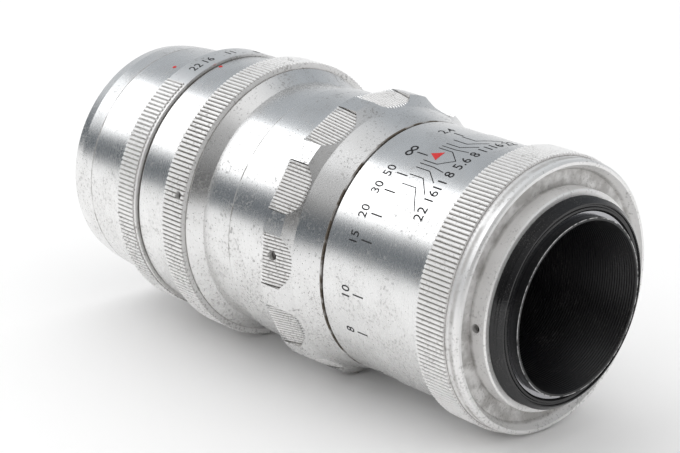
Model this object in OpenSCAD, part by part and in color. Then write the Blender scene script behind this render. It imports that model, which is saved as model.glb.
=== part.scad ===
// Long-focus camera lens with a screw mount: focusing ring, preset iris and two lens groups.
// The optical axis lies along Y. The front glass looks towards -Y and the mount faces +Y.
// The origin is the centre of the register plane. Stations are distances ahead of that plane.

/* [Stations along the axis] */
// Rear tip of the black inner tube behind the register plane
lip_reach = 4.0; // [3.2:0.1:5]
// Start of the knurling on the rear grip
grip_knurl_start = 5.1; // [4.2:0.1:6.2]
// Front face of the rear grip
grip_end = 12.2; // [10.5:0.1:15]
// Seam between the depth-of-field collar and the distance band
seam = 27.6; // [24:0.1:33]
// Front end of the distance band
band_end = 38.9; // [36:0.1:43]
// Width of the dark groove ahead of the distance band
groove_w = 0.6; // [0.3:0.1:1]
// Length of the flared back of the focusing ring
flare_len = 6.7; // [5:0.1:8.5]
// Length of the focusing ring's plain front skirt
skirt_len = 12.0; // [9:0.5:15]
// Length of the bare neck that shows at infinity
neck_len = 8.9; // [6:0.1:12]
// Width of the knurled ring on the head
head_ring_w = 6.1; // [5:0.1:8]
// Length of the plain barrel behind the aperture ring
head_barrel_len = 10.4; // [9.5:0.1:13]
// Width of the aperture ring
aperture_ring_w = 5.9; // [5:0.1:7.5]
// Length of the plain front barrel
front_barrel_len = 12.1; // [11:0.1:16]
// Length of the front rim
rim_len = 7.0; // [5.5:0.1:9]

/* [Radii] */
// Outer radius of the mount thread
thread_r = 21.0; // [19.5:0.5:21.5]
// Tip radius of the rear grip's knurling
grip_r = 28.05; // [27.5:0.05:30]
// Outer radius of the depth-of-field collar
collar_r = 26.35; // [26.2:0.05:27]
// Outer radius of the distance band
band_r = 26.15; // [26:0.05:26.3]
// Outer radius of the focusing ring
focus_r = 29.75; // [29.4:0.05:33]
// Outer radius of the focusing ring's skirt
skirt_r = 27.3; // [27.1:0.05:28]
// Outer radius of the neck
neck_r = 26.6; // [26.3:0.05:26.8]
// Tip radius of the head ring's knurling
head_ring_r = 30.2; // [29.8:0.1:33]
// Outer radius of the plain barrel behind the aperture ring
head_barrel_r = 28.0; // [27.6:0.1:28.4]
// Tip radius of the aperture ring's knurling
aperture_ring_r = 28.9; // [28:0.1:30]
// Outer radius of the front barrel
front_barrel_r = 26.1; // [25.7:0.1:27]
// Radius of the filter thread in the front rim
filter_r = 24.5; // [24.2:0.1:24.6]

/* [Walls and clearances] */
// Radial clearance of a running fit
running = 0.05; // [0.03:0.01:0.08]
// Radial clearance of a piece screwed or pressed in place
seated = 0.03; // [0.02:0.01:0.05]
// Clearance between parts that pass without touching
passing = 0.35; // [0.3:0.05:0.4]
// Radial room from the mount thread to the black inner tube
collar_room = 3.25; // [2.9:0.05:4.2]
// Wall of the black inner tube
inner_tube_wall = 0.55; // [0.4:0.05:0.8]
// Wall of the bearing sleeve under the distance band
sleeve_wall = 0.85; // [0.7:0.05:1]
// Wall of the head's helicoid tube
helicoid_wall = 0.6; // [0.5:0.05:0.7]
// Wall of the guide tube
guide_wall = 0.85; // [0.7:0.05:1]
// Wall of the focusing ring's spigot under the distance band
spigot_wall = 0.4; // [0.3:0.05:0.5]

/* [Grips] */
// Teeth round the rear grip
grip_teeth = 186; // [120:2:220]
// Teeth round the knurled ring on the head
head_ring_teeth = 197; // [120:1:220]
// Teeth round the aperture ring
aperture_teeth = 188; // [120:4:220]
// Depth of the knurling
knurl_depth = 0.42; // [0.25:0.01:0.6]
// Number of knurled pads on the focusing ring
pads = 12; // [8:1:14]
// Part of each pitch that a pad takes
pad_share = 0.7; // [0.55:0.01:0.8]
// Teeth on one pad
pad_teeth = 15; // [9:1:19]
// Slope of a pad's floor towards the back
pad_tilt = 10; // [4:0.5:11]
// Radius of the rounded back end of a pad
pad_end_r = 8; // [7:0.5:12]

/* [Scales and marks] */
// Angle of the index from straight up, towards +X
index_angle = 20.2; // [0:0.1:45]
// Angle from the index to the middle of the first pad
pad_phase = 8.2; // [0:0.1:30]
// Length of the red index triangle
index_len = 2.4; // [1.5:0.1:4]
// Width of the red index triangle
index_w = 2.8; // [1.5:0.1:4]
// Radius of the red dots at the aperture scale
dot_r = 0.45; // [0.3:0.05:0.7]

/* [Focusing] */
// Turn of the focusing ring from infinity to its nearest distance
focus_turn = 338; // [180:1:340]
// Travel of the head over that turn
focus_travel = 16.0; // [8:0.1:17]

/* [Iris and glass] */
// Radius of the open iris
iris_open_r = 14; // [12:0.5:14.5]
// Radius of the iris at the smallest stop
iris_small_r = 3.5; // [2.5:0.5:5]
// Turn of the aperture ring from the smallest stop to the widest
aperture_turn = 62; // [55:1:66]
// Number of iris blades
blades = 12; // [12:1:12]
// Radius of the circle of blade pivots
pivot_circle_r = 19.4; // [19.3:0.05:19.6]
// Edge radius of the front lens elements
front_glass_r = 20.6; // [19:0.1:21]
// Edge radius of the rear lens elements
rear_glass_r = 16.4; // [15:0.1:18]

/* [Hidden] */
$fn = 120;
aluminium = [0.78, 0.79, 0.80];
blackened = [0.05, 0.05, 0.055];
bright = [0.88, 0.89, 0.90];
steel = [0.45, 0.46, 0.48];
enamel = [0.72, 0.11, 0.09];
glass = [0.62, 0.72, 0.80, 0.4];

// Depth of a spherical surface of a given radius at its edge
function sag(edge_r, radius) = radius - sqrt(radius * radius - edge_r * edge_r);

// Nested radii, from the bearing sleeve inwards
sleeve_r = band_r - spigot_wall - running - 0.5;
sleeve_in = sleeve_r - sleeve_wall;
helicoid_r = sleeve_in - passing;
helicoid_in = helicoid_r - helicoid_wall;
guide_r = helicoid_in - running;
guide_in = guide_r - guide_wall;
inner_tube_r = thread_r - collar_room;
inner_tube_in = inner_tube_r - inner_tube_wall;

// Mount hub and its thread collar
hub_r = thread_r + 1.2;
hub_bore = thread_r - 1.0;
hub_bevel = 0.3;
channel_floor = 3.8;
web_front = 7.0;
collar_reach = 2.7;
collar_chamfer = 0.8;
lock_r = inner_tube_r + 0.85;
lock_reach = 2.4;
shoulder_start = -0.8;
shoulder_end = 0.6;
collar_seat_s = 0.6;
thread_relief = 0.4;
collar_screw_s = 2.2;
collar_screw_r = 0.9;
collar_screw_phase = 70.5;

// Focusing ring
ring_back = band_end + groove_w;
flare_end = ring_back + flare_len;
flare_r = band_r + 1.65;
land_start = flare_end + focus_r - flare_r;
land_end = land_start + 5.2;
skirt_end = land_end + skirt_len;
spigot_r = sleeve_r + running + spigot_wall;
spigot_start = band_end - 2.4;
sleeve_end = ring_back + 2.5;
shoulder_s = sleeve_end - 0.2;
retainer_w = 1.4;
retainer_r = sleeve_r + 0.5;
nut_r = retainer_r + 0.3;
nut_start = sleeve_end + retainer_w + 0.3;
nut_end = skirt_end - 5.1;
nut_in = helicoid_r + running;
focus_screw_s = land_end - 2.5;
focus_screw_r = 1.0;
focus_screw_phase = pad_phase + 2 * 360 / pads - 1.7;
pad_half = 180 / pads * pad_share;
pad_floor = focus_r * cos(pad_half);
pad_end_s = flare_end - 0.1;
stop_pin_r = 0.4;
stop_circle_r = sleeve_in + 0.67;
stop_depth = 1.6;
stop_slack = 0.6;
stop_arc = focus_turn + 2 * stop_slack + 2 * asin(stop_pin_r / stop_circle_r);

// Head
neck_back = nut_end + 0.4;
helicoid_back = seam + 0.4;
neck_end = skirt_end + neck_len;
head_flare_r = neck_r + 2.25;
head_flare_end = neck_end + 2.8;
head_ring_start = head_flare_end + 0.3;
head_ring_end = head_ring_start + head_ring_w;
joint_r = neck_r + 0.4;
joint_s = head_ring_start + head_ring_w / 2;
head_bore = neck_r - 2;
barrel_end = head_ring_end + head_barrel_len;
aperture_start = barrel_end + 0.2;
aperture_end = aperture_start + aperture_ring_w;
front_start = aperture_end + 0.2;
front_joint = front_start + front_barrel_len;
rim_end = front_joint + rim_len;
hub_ring_r = front_barrel_r - 1.1;
hub_thread_r = hub_ring_r - 0.6;
hub_thread_end = front_start + 2.8;
head_screw_s = head_ring_start + 1.7;
head_screw_r = 0.9;
head_screw_phase = 56.5;
barrel_chamfer = 0.4;
front_dot_phase = -2.2;
rear_dot_phase = -7.9;
dot_depth = 0.2;
rear_dot_s = barrel_end - 0.95;
front_dot_s = front_start + 5.6;
key_w = 3;
key_start = helicoid_back + 1;
key_len = 6;
guide_end = key_start + key_len + focus_travel;
rim_step_s = front_joint + 2.2;
rim_front_r = filter_r + 0.7;

// Iris unit
iris_r = 23.0;
iris_wall_r = 21.5;
iris_s = aperture_start - 2.8;
plate_t = 1.2;
blade_t = 0.15;
blade_step = 0.25;
blade_out_r = pivot_circle_r - 0.8;
blade_arc = 155;
ear_r = 1.3;
pivot_r = 0.45;
blade_first_s = iris_s + plate_t + 0.2;
cam_s = blade_first_s + blades * blade_step + 0.3;
cam_w = 1.6;
cam_in = iris_open_r + 1;
cover_s = cam_s + cam_w + 0.2;
blade_swing = 2 * asin((iris_open_r - iris_small_r) / (2 * pivot_circle_r));
drive_s = cam_s + cam_w / 2;
drive_r = 0.7;
drive_phase = 180;
numeral_arc = 78;
numeral_from = 10.5;

// Glass cells
front_cell_r = hub_thread_r - 0.4;
front_cell_start = hub_thread_end + 0.2;
front_lip = 1.4;
front_glass_s = front_cell_start + 1;
front_face_r = 62;
front_cement_r = 68;
front_cement_s = front_glass_s + 1.35;
front_crown_s = front_cement_s + 7.6;
front_ring_r = front_glass_r - 1.2;
front_ring_s = front_crown_s - sag(front_ring_r, front_face_r) + 0.05;
rear_cell_r = head_bore - seated;
rear_cell_start = neck_back + 2.6;
rear_cell_len = 10;
rear_glass_s = rear_cell_start + 2;
rear_lip = 1.2;
rear_face_r = 75;
rear_cement_r = 60;
rear_cement_s = rear_glass_s + 1.65 + sag(rear_glass_r, rear_face_r);

// Lays an upright shape down, so that its height becomes the distance ahead of the register plane
module laid() {
  rotate([90, 0, 0]) children();
}

// Turns an upright shape so that its X axis points at an angle from straight up towards +X
module facing(angle) {
  rotate([0, 0, 90 - angle]) children();
}

// A turned piece: points are [radius, station]
module turned(points) {
  laid() rotate_extrude() polygon(points);
}

// A plain ring between two radii and two stations
module ring(outer, inner, from, to) {
  turned([[inner, from], [outer, from], [outer, to], [inner, to]]);
}

// An upright disc or rod
module rod(radius, from, to) {
  translate([0, 0, from]) cylinder(r = radius, h = to - from);
}

// An upright rod that lies along X, from one radius to another
module radial_rod(radius, from, to, station) {
  translate([from, 0, station]) rotate([0, 90, 0]) cylinder(r = radius, h = to - from, $fn = 32);
}

// A slotted grub screw that points inwards
module grub_screw(radius, from, to, station) {
  slot_w = radius * 0.4;
  slot_depth = radius * 0.7;
  difference() {
    radial_rod(radius, from, to, station);
    translate([to - slot_depth, -radius, station - slot_w / 2]) cube([radius, 2 * radius, slot_w]);
  }
}

function polar(radius, angle) = [radius * cos(angle), radius * sin(angle)];

// Outline of a straight-knurled ring: flat-topped teeth with sharp roots
function knurl_outline(count, tip_r) = [
  for (i = [0:count - 1])
    each [
      polar(tip_r, (i - 0.2) * 360 / count),
      polar(tip_r, (i + 0.2) * 360 / count),
      polar(tip_r - knurl_depth, (i + 0.5) * 360 / count)
    ]
];

// An upright knurled ring
module knurled(count, tip_r, inner, from, to) {
  difference() {
    translate([0, 0, from]) linear_extrude(to - from) polygon(knurl_outline(count, tip_r));
    rod(inner, from - 1, to + 1);
  }
}

// ---- Mount side ----

// Hub, flange web and the long bearing sleeve
module mount_body() {
  color(aluminium) difference() {
    turned([
      [hub_bore, collar_seat_s], [thread_r + seated, collar_seat_s], [thread_r + seated, 0],
      [hub_r - hub_bevel, 0], [hub_r, hub_bevel], [hub_r, channel_floor],
      [sleeve_r, channel_floor], [sleeve_r, sleeve_end], [sleeve_in, sleeve_end],
      [sleeve_in, web_front], [hub_bore, web_front]
    ]);
    laid() facing(index_angle + collar_screw_phase)
      radial_rod(collar_screw_r, hub_bore - 1, hub_r + 1, collar_screw_s);
  }
}

// Black collar that carries the mount thread, modelled at its outer diameter
module thread_collar() {
  color(blackened) difference() {
    turned([
      [hub_bore - seated, collar_seat_s], [thread_r - thread_relief, collar_seat_s],
      [thread_r - thread_relief, 0], [thread_r, 0], [thread_r, collar_chamfer - collar_reach],
      [thread_r - collar_chamfer, -collar_reach], [lock_r, -collar_reach], [lock_r, shoulder_end],
      [lock_r - 0.6, shoulder_end], [lock_r - 0.6, web_front - 1],
      [hub_bore - seated, web_front - 1]
    ]);
    laid() facing(index_angle + collar_screw_phase)
      radial_rod(collar_screw_r, lock_r + 0.6, hub_r + 1, collar_screw_s);
  }
}

module lock_ring() {
  color(bright) ring(lock_r - seated, inner_tube_r + seated, -lock_reach, shoulder_start);
}

// Black tube with fine ridges inside that stop stray light
module inner_tube() {
  tube_end = seam;
  ridge_pitch = 0.6;
  ridge_h = 0.15;
  ridges = floor((tube_end + lip_reach - 1) / ridge_pitch);
  color(blackened) turned(concat(
    [[inner_tube_in, -lip_reach], [inner_tube_r, -lip_reach], [inner_tube_r, shoulder_start],
     [lock_r - seated, shoulder_start], [lock_r - seated, shoulder_end],
     [inner_tube_r, shoulder_end], [inner_tube_r, tube_end], [inner_tube_in, tube_end]],
    [for (i = [ridges:-1:1])
      each [
        [inner_tube_in, -lip_reach + i * ridge_pitch],
        [inner_tube_in - ridge_h, -lip_reach + (i - 0.5) * ridge_pitch]
      ]]
  ));
}

module collar_set_screw() {
  color(steel) laid() facing(index_angle + collar_screw_phase)
    grub_screw(collar_screw_r - seated, lock_r + 0.65, hub_r - 0.8, collar_screw_s);
}

// Knurled grip with a plain, hollowed rear rim
module rear_grip_ring() {
  rim_r = grip_r - 0.6;
  color(aluminium) union() {
    turned([
      [sleeve_r, channel_floor], [rim_r - 1.0, channel_floor - 1.9],
      [rim_r - 0.4, channel_floor - 1.9], [rim_r, channel_floor - 1.5],
      [rim_r, grip_knurl_start], [sleeve_r, grip_knurl_start]
    ]);
    laid() knurled(grip_teeth, grip_r, sleeve_r, grip_knurl_start, grip_end);
  }
}

// Triangle that points forwards, from a little under the collar's surface to a given radius
module index_prism(out_r) {
  under = collar_r - 0.3;
  laid() facing(index_angle) translate([under, 0, seam - 0.1]) rotate([0, 90, 0])
    linear_extrude(out_r - under)
      polygon([[0, 0], [index_len, index_w / 2], [index_len, -index_w / 2]]);
}

module dof_collar() {
  color(aluminium) difference() {
    ring(collar_r, sleeve_r, grip_end, seam);
    index_prism(collar_r + 1);
  }
}

module index_triangle() {
  color(enamel) index_prism(collar_r + 0.02);
}

// Tube that keeps the head from turning: its slot holds the guide key
module guide_tube() {
  color(aluminium) difference() {
    turned([
      [guide_in, web_front], [sleeve_in - seated, web_front], [sleeve_in - seated, web_front + 2],
      [guide_r, web_front + 2], [guide_r, guide_end], [guide_in, guide_end]
    ]);
    laid() facing(180) translate([guide_in - 1, -key_w / 2 - 0.1, key_start - 1])
      cube([4, key_w + 0.2, guide_end]);
  }
}

module focus_retaining_ring() {
  color(aluminium) difference() {
    ring(retainer_r, sleeve_in, sleeve_end, sleeve_end + retainer_w);
    laid() facing(index_angle) translate([stop_circle_r, 0, 0])
      rod(stop_pin_r + seated, sleeve_end + 0.4, sleeve_end + 3);
  }
}

// Pin that stops the focusing ring at both ends of its turn
module focus_stop_pin() {
  color(steel) laid() facing(index_angle) translate([stop_circle_r, 0, 0])
    rod(stop_pin_r, sleeve_end + 0.4, nut_start + stop_depth - 0.4);
}

// ---- Focusing ring and distance band, which turn together ----

module distance_band() {
  color(aluminium) turned([
    [sleeve_r + running, seam + 0.06], [band_r, seam + 0.06], [band_r, band_end],
    [spigot_r + seated, band_end], [spigot_r + seated, spigot_start],
    [sleeve_r + running, spigot_start]
  ]);
}

// Cuts one knurled pad: a pocket with a round back end, whose floor is toothed and slopes back
module pad_cutter() {
  width = 2 * focus_r * sin(pad_half);
  pitch = width / pad_teeth;
  reach = land_end - flare_end + 1;
  intersection() {
    translate([pad_floor, 0, land_end]) rotate([0, pad_tilt, 0]) translate([0, 0, -reach])
      linear_extrude(reach + 1) polygon(concat(
        [for (i = [0:pad_teeth - 1])
          each [
            [-knurl_depth * 0.7, i * pitch - width / 2],
            [0, (i + 0.3) * pitch - width / 2],
            [0, (i + 0.7) * pitch - width / 2]
          ]],
        [[-knurl_depth * 0.7, width / 2], [3, width / 2], [3, -width / 2]]
      ));
    translate([pad_floor - 3, 0, pad_end_s + pad_end_r]) rotate([0, 90, 0])
      cylinder(r = pad_end_r, h = 8);
  }
}

module focus_ring() {
  color(aluminium) difference() {
    turned([
      [sleeve_r + running, spigot_start], [spigot_r, spigot_start], [spigot_r, ring_back],
      [band_r - 0.05, ring_back], [flare_r, flare_end], [focus_r, land_start],
      [focus_r, land_end], [skirt_r, land_end], [skirt_r, skirt_end],
      [neck_r + running, skirt_end], [neck_r + running, nut_end + 0.2],
      [nut_r + seated, nut_end + 0.2], [nut_r + seated, shoulder_s],
      [sleeve_r + running, shoulder_s]
    ]);
    laid() for (i = [0:pads - 1])
      facing(index_angle + pad_phase + i * 360 / pads) pad_cutter();
    laid() for (i = [0:2])
      facing(index_angle + focus_screw_phase + i * 120)
        radial_rod(focus_screw_r, nut_r - 1, focus_r + 1, focus_screw_s);
  }
}

// Threaded sleeve locked inside the focusing ring. Its thread pushes the head out.
module helicoid_nut() {
  color(aluminium) difference() {
    ring(nut_r, nut_in, nut_start, nut_end);
    laid() facing(index_angle + focus_turn / 2 + stop_arc / 2)
      rotate_extrude(angle = stop_arc)
        translate([stop_circle_r - stop_pin_r - 0.12, nut_start - 1])
          square([2 * stop_pin_r + 0.24, stop_depth + 1]);
    laid() for (i = [0:2])
      facing(index_angle + focus_screw_phase + i * 120)
        radial_rod(focus_screw_r, nut_r - 0.7, nut_r + 1, focus_screw_s);
  }
}

module focus_set_screws() {
  color(steel) laid() for (i = [0:2])
    facing(index_angle + focus_screw_phase + i * 120)
      grub_screw(focus_screw_r - seated, nut_r - 0.65, pad_floor - 1.4, focus_screw_s);
}

// ---- Head, which slides forward without turning ----

module head_tube() {
  color(aluminium) difference() {
    turned([
      [helicoid_in, helicoid_back], [helicoid_r, helicoid_back], [helicoid_r, neck_back],
      [neck_r, neck_back], [neck_r, neck_end], [head_flare_r, head_flare_end],
      [head_flare_r, head_ring_start], [joint_r, head_ring_start], [joint_r, joint_s],
      [head_bore, joint_s], [head_bore, neck_back + 2], [helicoid_in, neck_back + 2]
    ]);
    laid() facing(180) translate([helicoid_in - 1, -key_w / 2 - seated, key_start])
      cube([4, key_w + 2 * seated, key_len]);
  }
}

// Block fixed in the head tube that slides in the guide tube's slot
module guide_key() {
  color(steel) laid() facing(180) intersection() {
    translate([guide_in + 0.2, -key_w / 2, key_start + seated])
      cube([helicoid_r - guide_in, key_w, key_len - 2 * seated]);
    rod(helicoid_r - 0.05, 0, guide_end);
  }
}

module head_ring() {
  color(aluminium) laid() difference() {
    knurled(head_ring_teeth, head_ring_r, joint_r + seated, head_ring_start, head_ring_end);
    for (i = [0:2])
      facing(index_angle + head_screw_phase + i * 120)
        radial_rod(head_screw_r, joint_r - 1, head_ring_r + 1, head_screw_s);
  }
}

module head_set_screws() {
  color(steel) laid() for (i = [0:2])
    facing(index_angle + head_screw_phase + i * 120)
      grub_screw(head_screw_r - seated, joint_r + 0.02, head_ring_r - 1.2, head_screw_s);
}

// Arc-shaped slot through a wall for the drive screw of the iris
module drive_slot(outer, inner) {
  margin = 2 * asin(drive_r / inner) + 1;
  laid() facing(drive_phase + index_angle + aperture_turn + margin)
    rotate_extrude(angle = aperture_turn + 2 * margin)
      translate([inner, drive_s - drive_r - 0.2])
        square([outer - inner, 2 * drive_r + 0.4]);
}

module head_barrel() {
  color(aluminium) difference() {
    turned([
      [head_bore, joint_s], [joint_r, joint_s], [joint_r, head_ring_end],
      [head_barrel_r, head_ring_end], [head_barrel_r, barrel_end - barrel_chamfer],
      [head_barrel_r - barrel_chamfer, barrel_end], [hub_ring_r, barrel_end],
      [hub_ring_r, front_start],
      [hub_thread_r, front_start], [hub_thread_r, hub_thread_end], [iris_r, hub_thread_end],
      [iris_r, iris_s], [iris_wall_r, iris_s], [iris_wall_r, iris_s - 1.2],
      [head_bore, iris_s - 1.2]
    ]);
    drive_slot(hub_ring_r + 1, iris_r - 1);
    dot_hole(head_barrel_r, rear_dot_s, rear_dot_phase);
  }
}

// Enamel dots: one on the front barrel and one behind the aperture ring
module red_dots() {
  color(enamel) laid() {
    facing(index_angle + front_dot_phase)
      radial_rod(dot_r, front_barrel_r - dot_depth, front_barrel_r + 0.03, front_dot_s);
    facing(index_angle + rear_dot_phase)
      radial_rod(dot_r, head_barrel_r - dot_depth, head_barrel_r + 0.03, rear_dot_s);
  }
}

module dot_hole(radius, station, phase) {
  laid() facing(index_angle + phase)
    radial_rod(dot_r, radius - dot_depth, radius + 1, station);
}

module front_barrel() {
  color(aluminium) difference() {
    turned([
      [hub_thread_r + seated, front_start], [front_barrel_r, front_start],
      [front_barrel_r, front_joint], [front_barrel_r - 0.9, front_joint],
      [front_barrel_r - 0.9, rim_step_s], [front_cell_r, rim_step_s],
      [front_cell_r, hub_thread_end], [hub_thread_r + seated, hub_thread_end]
    ]);
    dot_hole(front_barrel_r, front_dot_s, front_dot_phase);
  }
}

module filter_rim() {
  color(aluminium) turned([
    [front_barrel_r - 0.9 + seated, front_joint], [front_barrel_r, front_joint],
    [rim_front_r + 0.5, rim_end - 2.5], [rim_front_r, rim_end], [filter_r, rim_end],
    [filter_r, rim_step_s + 0.05], [front_barrel_r - 0.9 + seated, rim_step_s + 0.05]
  ]);
}

// Cell that holds the cemented front pair
module front_cell() {
  color(blackened) turned([
    [front_glass_r - front_lip, front_cell_start], [front_cell_r - seated, front_cell_start],
    [front_cell_r - seated, front_ring_s - 0.05], [front_glass_r + seated, front_ring_s - 0.05],
    [front_glass_r + seated, front_glass_s], [front_glass_r - front_lip, front_glass_s]
  ]);
}

module front_retaining_ring() {
  color(blackened) turned([
    [front_ring_r, front_ring_s], [front_cell_r - seated, front_ring_s],
    [front_cell_r - seated, rim_step_s], [front_glass_r - 0.2, rim_step_s]
  ]);
}

// Solid between two spherical surfaces. A radius is positive when the surface bulges forwards,
// and 0 when it is flat.
module lens(edge_r, back_s, back_radius, front_s, front_radius) {
  laid() difference() {
    intersection() {
      rod(edge_r, back_radius == 0 ? back_s : back_s - 8, front_radius == 0 ? front_s : front_s + 8);
      if (front_radius > 0)
        translate([0, 0, front_s - front_radius]) sphere(r = front_radius);
      if (back_radius < 0)
        translate([0, 0, back_s - back_radius]) sphere(r = -back_radius);
    }
    if (front_radius < 0)
      translate([0, 0, front_s - front_radius]) sphere(r = -front_radius);
    if (back_radius > 0)
      translate([0, 0, back_s - back_radius]) sphere(r = back_radius);
  }
}

module front_crown() {
  color(glass)
    lens(front_glass_r, front_cement_s + 0.05, -front_cement_r, front_crown_s, front_face_r);
}

module front_flint() {
  color(glass) lens(front_glass_r, front_glass_s + 0.05, 0, front_cement_s, -front_cement_r);
}

module iris_housing() {
  color(blackened) difference() {
    turned([
      [iris_open_r, iris_s], [iris_r - seated, iris_s], [iris_r - seated, cover_s + 0.6],
      [iris_wall_r, cover_s + 0.6], [iris_wall_r, iris_s + plate_t], [iris_open_r, iris_s + plate_t]
    ]);
    laid() for (i = [0:blades - 1])
      rotate([0, 0, i * 360 / blades]) translate([pivot_circle_r, 0, 0])
        rod(pivot_r + running, iris_s + 0.2, iris_s + 3);
    drive_slot(iris_r + 1, iris_wall_r - 1);
  }
}

module iris_cover_ring() {
  color(blackened) ring(iris_wall_r - seated, cam_in, cover_s, cover_s + 0.6);
}

module rear_cell() {
  color(blackened) turned([
    [rear_glass_r - rear_lip, rear_cell_start], [rear_cell_r, rear_cell_start],
    [rear_cell_r, rear_cell_start + rear_cell_len],
    [rear_glass_r + seated, rear_cell_start + rear_cell_len],
    [rear_glass_r + seated, rear_glass_s], [rear_glass_r - rear_lip, rear_glass_s]
  ]);
}

module rear_flint() {
  color(glass)
    lens(rear_glass_r, rear_cement_s - 1.6, rear_face_r, rear_cement_s, -rear_cement_r);
}

module rear_crown() {
  color(glass)
    lens(rear_glass_r, rear_cement_s + 0.05, -rear_cement_r, rear_cement_s + 3.4, 0);
}

module rear_retaining_ring() {
  color(blackened)
    ring(rear_glass_r, rear_glass_r - rear_lip, rear_cement_s + 3.45, rear_cell_start + rear_cell_len);
}

// ---- Aperture ring and cam ring, which turn together ----

module aperture_ring() {
  plain_r = aperture_ring_r - 0.8 * knurl_depth;
  knurl_back = aperture_start + 0.7;
  color(aluminium) laid() difference() {
    union() {
      rod(plain_r, aperture_start, aperture_end);
      difference() {
        knurled(aperture_teeth, aperture_ring_r, plain_r - 1, knurl_back, aperture_end);
        facing(index_angle + numeral_from)
          rotate_extrude(angle = numeral_arc)
            translate([plain_r, aperture_start - 1]) square([3, aperture_ring_w + 2]);
      }
    }
    rod(hub_ring_r + running, aperture_start - 1, aperture_end + 1);
    facing(index_angle + drive_phase) radial_rod(drive_r, hub_ring_r, aperture_ring_r + 1, drive_s);
  }
}

module aperture_drive_screw() {
  color(steel) laid() facing(index_angle + drive_phase)
    grub_screw(drive_r - seated, iris_wall_r - 1.4, aperture_ring_r - 1.2, drive_s);
}

// Slotted ring over the blades, turned by the drive screw
module iris_cam_ring() {
  color(blackened) difference() {
    ring(iris_wall_r - 0.3, cam_in, cam_s, cam_s + cam_w);
    laid() facing(index_angle + drive_phase)
      radial_rod(drive_r, iris_wall_r - 1.5, iris_wall_r + 1, drive_s);
    laid() for (i = [0:blades - 1])
      rotate([0, 0, (i + 0.5) * 360 / blades])
        translate([cam_in + 1, -0.5, cam_s - 1]) cube([3.2, 1, cam_w + 2]);
  }
}

// One blade, swung in to the smallest stop. Each blade has its own level in the stack.
module iris_blade(number) {
  level = blade_first_s + (number - 1) * blade_step;
  color(steel) laid() rotate([0, 0, number * 360 / blades])
    translate([pivot_circle_r, 0, 0]) rotate([0, 0, blade_swing]) union() {
      translate([-pivot_circle_r, 0, level]) rotate([0, 0, -3]) rotate_extrude(angle = blade_arc)
        translate([iris_open_r, 0]) square([blade_out_r - iris_open_r, blade_t]);
      rod(ear_r, level, level + blade_t);
      rod(pivot_r, iris_s + 0.3, level + blade_t);
    }
}

mount_body();
thread_collar();
lock_ring();
inner_tube();
collar_set_screw();
rear_grip_ring();
dof_collar();
index_triangle();
guide_tube();
focus_retaining_ring();
focus_stop_pin();
distance_band();
focus_ring();
helicoid_nut();
focus_set_screws();
head_tube();
guide_key();
head_ring();
head_set_screws();
head_barrel();
red_dots();
front_barrel();
filter_rim();
front_cell();
front_crown();
front_flint();
front_retaining_ring();
iris_housing();
iris_cover_ring();
rear_cell();
rear_crown();
rear_flint();
rear_retaining_ring();
aperture_ring();
aperture_drive_screw();
iris_cam_ring();
iris_blade(1);  // iris_blade_1
iris_blade(2);  // iris_blade_2
iris_blade(3);  // iris_blade_3
iris_blade(4);  // iris_blade_4
iris_blade(5);  // iris_blade_5
iris_blade(6);  // iris_blade_6
iris_blade(7);  // iris_blade_7
iris_blade(8);  // iris_blade_8
iris_blade(9);  // iris_blade_9
iris_blade(10);  // iris_blade_10
iris_blade(11);  // iris_blade_11
iris_blade(12);  // iris_blade_12
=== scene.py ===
# %% [markdown]
# # A long-focus camera lens in bare aluminium
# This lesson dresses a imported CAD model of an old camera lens. Every ring, tube and blade is already
# there at its true size, as a fixed frame of named nodes on moving bodies. What is left for Blender is
# what the maker's paint pot and the years did: turned and worn metal, dirt in the knurling, filled
# engraving, a real screw thread and clear glass. Everything is in metres. The axis of the lens is Y, the
# mount faces +Y, and a "station" is the distance ahead of the register plane, so it grows towards -Y.

# %% Load the frame
import math
import bmesh
import bpy
from mathutils import Matrix, Vector


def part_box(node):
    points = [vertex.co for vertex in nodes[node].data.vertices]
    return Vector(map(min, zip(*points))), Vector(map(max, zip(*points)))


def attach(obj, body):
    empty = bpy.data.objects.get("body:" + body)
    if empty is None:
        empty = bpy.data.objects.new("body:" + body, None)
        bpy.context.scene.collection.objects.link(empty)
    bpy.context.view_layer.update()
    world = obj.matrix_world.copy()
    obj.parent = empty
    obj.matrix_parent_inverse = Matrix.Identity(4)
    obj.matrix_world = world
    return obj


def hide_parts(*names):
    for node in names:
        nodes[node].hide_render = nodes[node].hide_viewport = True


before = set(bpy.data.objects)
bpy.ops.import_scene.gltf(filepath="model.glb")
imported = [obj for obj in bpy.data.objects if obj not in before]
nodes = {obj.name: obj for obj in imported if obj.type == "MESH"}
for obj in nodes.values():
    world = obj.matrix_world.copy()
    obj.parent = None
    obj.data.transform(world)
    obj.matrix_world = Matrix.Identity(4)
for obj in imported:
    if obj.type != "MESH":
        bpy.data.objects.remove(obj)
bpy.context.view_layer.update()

MM = 0.001
INDEX = math.radians(20.2)  # angle of the red index from straight up, towards +X

# %% [markdown]
# ## Camera
# The camera looks down on the mount from the right, with a long focal length, so the barrel narrows
# only a little towards the front. Its three axes are written out, because the whole picture hangs on them.

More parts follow.
